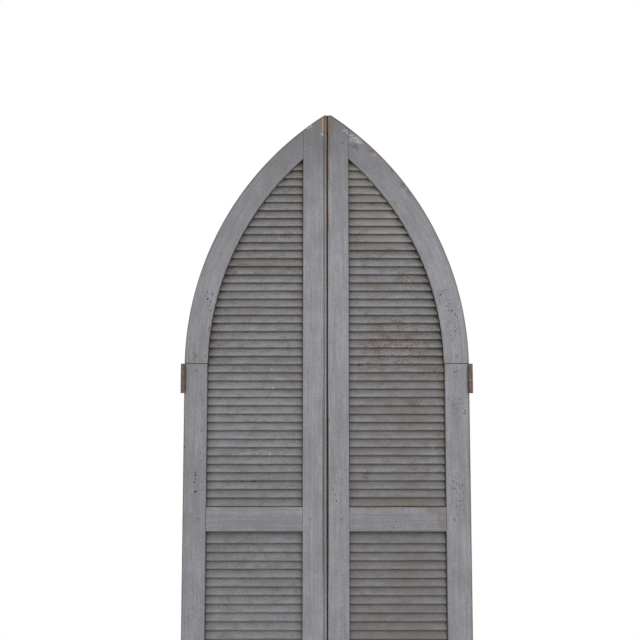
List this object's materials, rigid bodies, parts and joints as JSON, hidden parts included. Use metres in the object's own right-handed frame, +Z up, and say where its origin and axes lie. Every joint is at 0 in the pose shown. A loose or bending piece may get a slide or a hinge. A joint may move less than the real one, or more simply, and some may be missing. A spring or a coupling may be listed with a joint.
{
  "type": "pair of arched louvered doors",
  "caption": "Pair of louvered doors under a pointed arch: framed leaves with fixed sloping slats, pegged joints and lift-off butt hinges, each leaf swinging towards the front.",
  "frame": {"origin": "middle of the closed pair's box, at the foot of the stiles", "axes": "+Z up, +X to the right seen from the front; the front, with the hinge knuckles, faces -Y"},
  "size_m": [0.8936, 0.0484, 2.286],
  "materials": {
    "frame_paint": "old blue-grey oil paint, worn and dusty",
    "slat_paint": "old grey oil paint, dirty and chipped",
    "bare_wood": "unpainted softwood",
    "rusty_iron": "rusted, flaking paint"
  },
  "bodies": {
    "jamb_hinges": {"left_lower_hinge_jamb_half": "rusty_iron", "left_lower_hinge_pin": "rusty_iron", "left_upper_hinge_jamb_half": "rusty_iron", "left_upper_hinge_pin": "rusty_iron", "right_lower_hinge_jamb_half": "rusty_iron", "right_lower_hinge_pin": "rusty_iron", "right_upper_hinge_jamb_half": "rusty_iron", "right_upper_hinge_pin": "rusty_iron"},
    "left_leaf": {"left_arched_stile": "frame_paint", "left_bottom_rail": "frame_paint", "left_bottom_rail_peg_inner": "frame_paint", "left_bottom_rail_peg_outer": "frame_paint", "left_head_peg": "frame_paint", "left_hinge_stile": "frame_paint", "left_lower_hinge_door_half": "rusty_iron", "left_lower_hinge_screw_bottom": "rusty_iron", "left_lower_hinge_screw_middle": "rusty_iron", "left_lower_hinge_screw_top": "rusty_iron", "left_lower_louvers": "slat_paint", "left_meeting_stile": "frame_paint", "left_mid_rail": "frame_paint", "left_mid_rail_peg_inner": "frame_paint", "left_mid_rail_peg_outer": "frame_paint", "left_springing_peg_lower": "frame_paint", "left_springing_peg_upper": "frame_paint", "left_springing_tenon": "bare_wood", "left_upper_hinge_door_half": "rusty_iron", "left_upper_hinge_screw_bottom": "rusty_iron", "left_upper_hinge_screw_middle": "rusty_iron", "left_upper_hinge_screw_top": "rusty_iron", "left_upper_louvers": "slat_paint"},
    "right_leaf": {"right_arched_stile": "frame_paint", "right_bottom_rail": "frame_paint", "right_bottom_rail_peg_inner": "frame_paint", "right_bottom_rail_peg_outer": "frame_paint", "right_head_peg": "frame_paint", "right_hinge_stile": "frame_paint", "right_lower_hinge_door_half": "rusty_iron", "right_lower_hinge_screw_bottom": "rusty_iron", "right_lower_hinge_screw_middle": "rusty_iron", "right_lower_hinge_screw_top": "rusty_iron", "right_lower_louvers": "slat_paint", "right_meeting_stile": "frame_paint", "right_mid_rail": "frame_paint", "right_mid_rail_peg_inner": "frame_paint", "right_mid_rail_peg_outer": "frame_paint", "right_springing_peg_lower": "frame_paint", "right_springing_peg_upper": "frame_paint", "right_springing_tenon": "bare_wood", "right_upper_hinge_door_half": "rusty_iron", "right_upper_hinge_screw_bottom": "rusty_iron", "right_upper_hinge_screw_middle": "rusty_iron", "right_upper_hinge_screw_top": "rusty_iron", "right_upper_louvers": "slat_paint"}
  },
  "joints": [
    {"name": "left_leaf_swing", "type": "hinge", "parent": "jamb_hinges", "child": "left_leaf", "pos_m": [-0.4403, -0.01765, 1], "axis": [0, 0, -1], "range_deg": [0, 180]},
    {"name": "right_leaf_swing", "type": "hinge", "parent": "jamb_hinges", "child": "right_leaf", "pos_m": [0.4403, -0.01765, 1], "axis": [0, 0, 1], "range_deg": [0, 180]}
  ]
}
